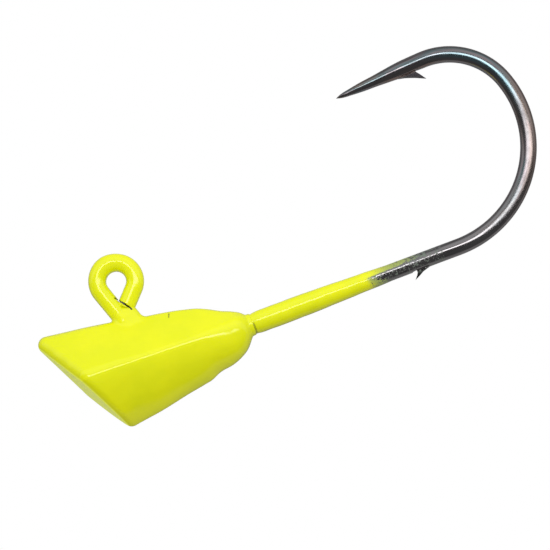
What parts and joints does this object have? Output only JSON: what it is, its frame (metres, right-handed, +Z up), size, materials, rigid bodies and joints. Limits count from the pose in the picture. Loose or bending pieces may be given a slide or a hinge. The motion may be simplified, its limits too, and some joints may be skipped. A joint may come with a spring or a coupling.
{
  "type": "jig head",
  "caption": "Painted lead jig head with a slanted flat foot, a wire line eye, a bait keeper barb and a round-bend barbed hook.",
  "frame": {"origin": "middle of the flat slanted foot of the head, on the foot's face", "axes": "+Z up from the foot's face, the hook lies in the XZ plane, the shank leans towards +X at 61.5 degrees to the foot, and the line eye is on the -X side"},
  "size_m": [0.0223, 0.0076, 0.0407],
  "materials": {
    "hook_wire": "black nickel plate, polished, slightly tinted on the bend",
    "lead": "cast lead alloy, dull grey",
    "paint": "gloss fluorescent chartreuse lure paint"
  },
  "bodies": {
    "root": {"hook": "hook_wire", "lead_head": "lead", "head_coat": "paint", "eye_coat": "paint", "shank_coat": "paint"}
  },
  "joints": []
}
